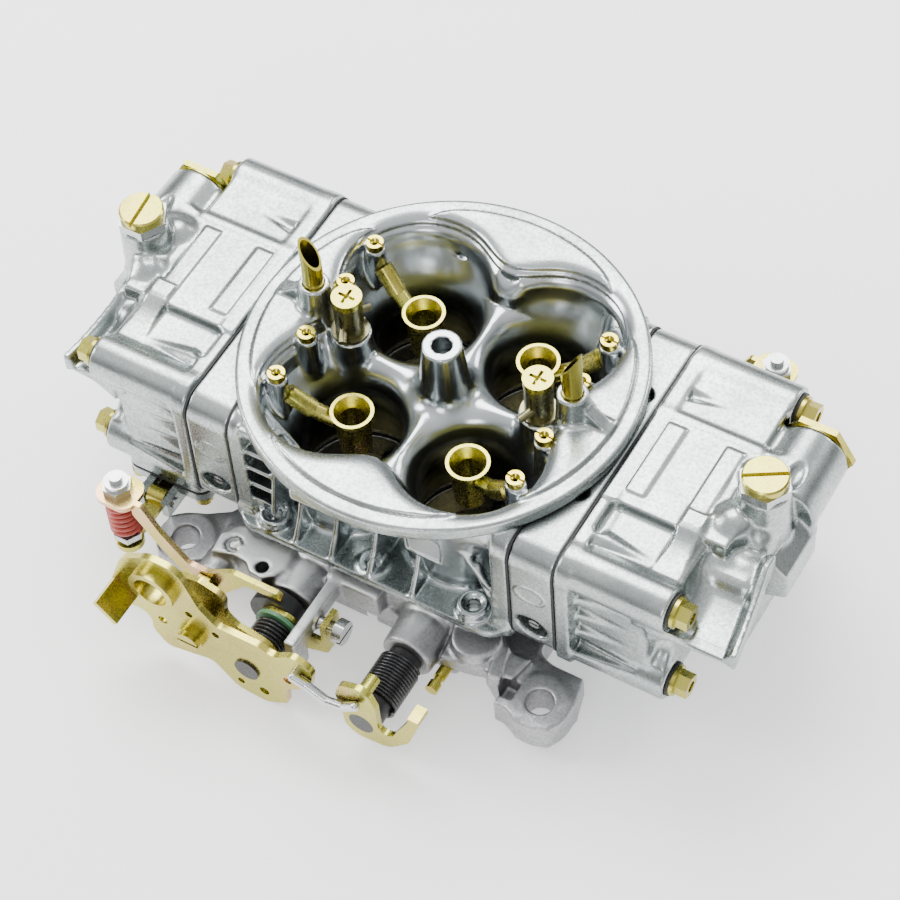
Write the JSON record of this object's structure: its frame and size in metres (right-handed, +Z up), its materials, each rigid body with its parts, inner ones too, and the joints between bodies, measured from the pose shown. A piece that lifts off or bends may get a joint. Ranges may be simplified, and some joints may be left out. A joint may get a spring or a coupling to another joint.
{
  "type": "four-barrel carburetor",
  "caption": "Square-bore downdraft carburetor with mechanical secondaries, float bowls at both ends, open air horn, accelerator pumps and a linked throttle lever side.",
  "frame": {"origin": "centre of the mounting flange at its bottom face", "axes": "+X towards the secondary bowl, -Y towards the throttle levers, +Z up through the air horn"},
  "size_m": [0.2718, 0.1961, 0.1204],
  "materials": {
    "cast_bright": "satin",
    "cast_dark": "matte",
    "gasket": "matte",
    "gold_zinc": "satin",
    "olive_zinc": "satin",
    "pink_zinc": "satin",
    "brass": "satin",
    "silver_zinc": "satin",
    "black_steel": "satin",
    "red_spring": "satin",
    "black_rubber": "matte",
    "black_plastic": "matte",
    "green_plastic": "satin"
  },
  "bodies": {
    "carburetor_body": {"air_bleeds": "brass", "booster_venturis": "gold_zinc", "bowl_screw_washers": "black_rubber", "bowl_screws": "gold_zinc", "discharge_nozzle_screws": "gold_zinc", "discharge_nozzles": "olive_zinc", "fuel_inlet_plugs": "gold_zinc", "fuel_level_lock_screws": "gold_zinc", "fuel_level_nuts": "silver_zinc", "gaskets": "gasket", "hinge_pins": "silver_zinc", "main_body": "cast_bright", "main_jets": "brass", "needle_seats": "brass", "operating_lever_pivots": "gold_zinc", "power_valves": "brass", "primary_fuel_bowl": "cast_bright", "primary_metering_block": "cast_bright", "primary_return_spring": "black_steel", "pump_cover_screws": "gold_zinc", "pump_covers": "cast_bright", "pump_diaphragms": "black_rubber", "secondary_fuel_bowl": "cast_bright", "secondary_metering_block": "cast_bright", "secondary_return_spring": "black_steel", "spring_anchor_post": "brass", "throttle_body": "cast_dark", "throttle_body_screws": "silver_zinc", "vent_tubes": "brass"},
    "primary_throttle": {"primary_throttle_shaft": "black_steel", "primary_throttle_plates": "olive_zinc", "primary_throttle_lever": "gold_zinc", "primary_stop_lever": "pink_zinc", "lever_clamp_screw": "gold_zinc", "primary_pump_cam": "black_plastic", "primary_spring_washer": "green_plastic", "primary_idle_lever": "gold_zinc"},
    "secondary_throttle": {"secondary_throttle_shaft": "black_steel", "secondary_throttle_plates": "olive_zinc", "secondary_throttle_lever": "gold_zinc", "secondary_pump_cam": "black_plastic", "secondary_spring_sleeve": "black_plastic"},
    "link_rod": {"throttle_link_rod": "silver_zinc"},
    "primary_operating_arm": {"primary_operating_lever": "pink_zinc", "primary_override_bolt": "silver_zinc", "primary_override_spring": "red_spring"},
    "secondary_operating_arm": {"secondary_operating_lever": "gold_zinc", "secondary_override_bolt": "silver_zinc", "secondary_override_spring": "red_spring"},
    "primary_pump_arm": {"primary_pump_lever": "gold_zinc"},
    "secondary_pump_arm": {"secondary_pump_lever": "gold_zinc"},
    "primary_float_arm": {"primary_float": "black_plastic"},
    "secondary_float_arm": {"secondary_float": "black_plastic"},
    "primary_inlet_needle": {"primary_needle": "brass"},
    "secondary_inlet_needle": {"secondary_needle": "brass"},
    "idle_speed_adjuster": {"idle_speed_screw": "silver_zinc"},
    "primary_near_mixture": {"primary_near_mixture_screw": "silver_zinc"},
    "primary_far_mixture": {"primary_far_mixture_screw": "silver_zinc"},
    "secondary_near_mixture": {"secondary_near_mixture_screw": "silver_zinc"},
    "secondary_far_mixture": {"secondary_far_mixture_screw": "silver_zinc"}
  },
  "joints": [
    {"name": "throttle", "type": "hinge", "parent": "carburetor_body", "child": "primary_throttle", "pos_m": [-0.02275, 0, 0.012], "axis": [0, 1, 0], "range_deg": [0, 75], "deforming": ["pump_diaphragms", "primary_return_spring", "secondary_return_spring"]},
    {"name": "secondary_throttle_turn", "type": "hinge", "parent": "carburetor_body", "child": "secondary_throttle", "pos_m": [0.02275, 0, 0.012], "axis": [0, -1, 0], "range_deg": [0, 75]},
    {"name": "link_rod_pivot", "type": "hinge", "parent": "primary_throttle", "child": "link_rod", "pos_m": [-0.0015, -0.1035, 0.026], "axis": [0, -1, 0], "range_deg": [0, 134]},
    {"name": "primary_operating_pivot", "type": "hinge", "parent": "carburetor_body", "child": "primary_operating_arm", "pos_m": [-0.054, -0.0775, 0.013], "axis": [0, -1, 0], "range_deg": [0, 6.3]},
    {"name": "secondary_operating_pivot", "type": "hinge", "parent": "carburetor_body", "child": "secondary_operating_arm", "pos_m": [0.054, 0.0775, 0.013], "axis": [0, 1, 0], "range_deg": [0, 6.3]},
    {"name": "primary_pump_pivot", "type": "hinge", "parent": "carburetor_body", "child": "primary_pump_arm", "pos_m": [-0.089, -0.056, 0.0135], "axis": [1, 0, 0], "range_deg": [0, 11.1]},
    {"name": "secondary_pump_pivot", "type": "hinge", "parent": "carburetor_body", "child": "secondary_pump_arm", "pos_m": [0.089, 0.056, 0.0135], "axis": [-1, 0, 0], "range_deg": [0, 11.1]},
    {"name": "primary_float_hinge", "type": "hinge", "parent": "carburetor_body", "child": "primary_float_arm", "pos_m": [-0.126, 0, 0.054], "axis": [0, -1, 0], "range_deg": [0, 12]},
    {"name": "secondary_float_hinge", "type": "hinge", "parent": "carburetor_body", "child": "secondary_float_arm", "pos_m": [0.126, 0, 0.054], "axis": [0, 1, 0], "range_deg": [0, 12]},
    {"name": "primary_needle_slide", "type": "slide", "parent": "carburetor_body", "child": "primary_inlet_needle", "axis": [0, 0, 1], "range_m": [0, 0.00116]},
    {"name": "secondary_needle_slide", "type": "slide", "parent": "carburetor_body", "child": "secondary_inlet_needle", "axis": [0, 0, 1], "range_m": [0, 0.00116]},
    {"name": "idle_speed_turn", "type": "hinge", "parent": "primary_throttle", "child": "idle_speed_adjuster", "pos_m": [0, -0.077, 0.019], "axis": [1, 0, 0], "range_deg": [-540, 540]},
    {"name": "primary_near_mixture_turn", "type": "hinge", "parent": "carburetor_body", "child": "primary_near_mixture", "pos_m": [-0.0628, -0.05, 0.036], "axis": [0, -1, 0], "range_deg": [0, 720]},
    {"name": "primary_far_mixture_turn", "type": "hinge", "parent": "carburetor_body", "child": "primary_far_mixture", "pos_m": [-0.0628, 0.05, 0.036], "axis": [0, 1, 0], "range_deg": [0, 720]},
    {"name": "secondary_near_mixture_turn", "type": "hinge", "parent": "carburetor_body", "child": "secondary_near_mixture", "pos_m": [0.0628, -0.05, 0.036], "axis": [0, -1, 0], "range_deg": [0, 720]},
    {"name": "secondary_far_mixture_turn", "type": "hinge", "parent": "carburetor_body", "child": "secondary_far_mixture", "pos_m": [0.0628, 0.05, 0.036], "axis": [0, 1, 0], "range_deg": [0, 720]}
  ],
  "couplings": [
    {"joint": "secondary_throttle_turn", "follows": "throttle", "ratio": 1},
    {"joint": "link_rod_pivot", "follows": "throttle", "ratio": 1.78},
    {"joint": "primary_operating_pivot", "follows": "throttle", "ratio": 0.0827},
    {"joint": "primary_pump_pivot", "follows": "throttle", "ratio": 0.1467},
    {"joint": "primary_needle_slide", "follows": "primary_float_hinge", "m_per_rad": 0.0055},
    {"joint": "secondary_operating_pivot", "follows": "throttle", "ratio": 0.0827},
    {"joint": "secondary_pump_pivot", "follows": "throttle", "ratio": 0.1467},
    {"joint": "secondary_needle_slide", "follows": "secondary_float_hinge", "m_per_rad": 0.0055}
  ]
}
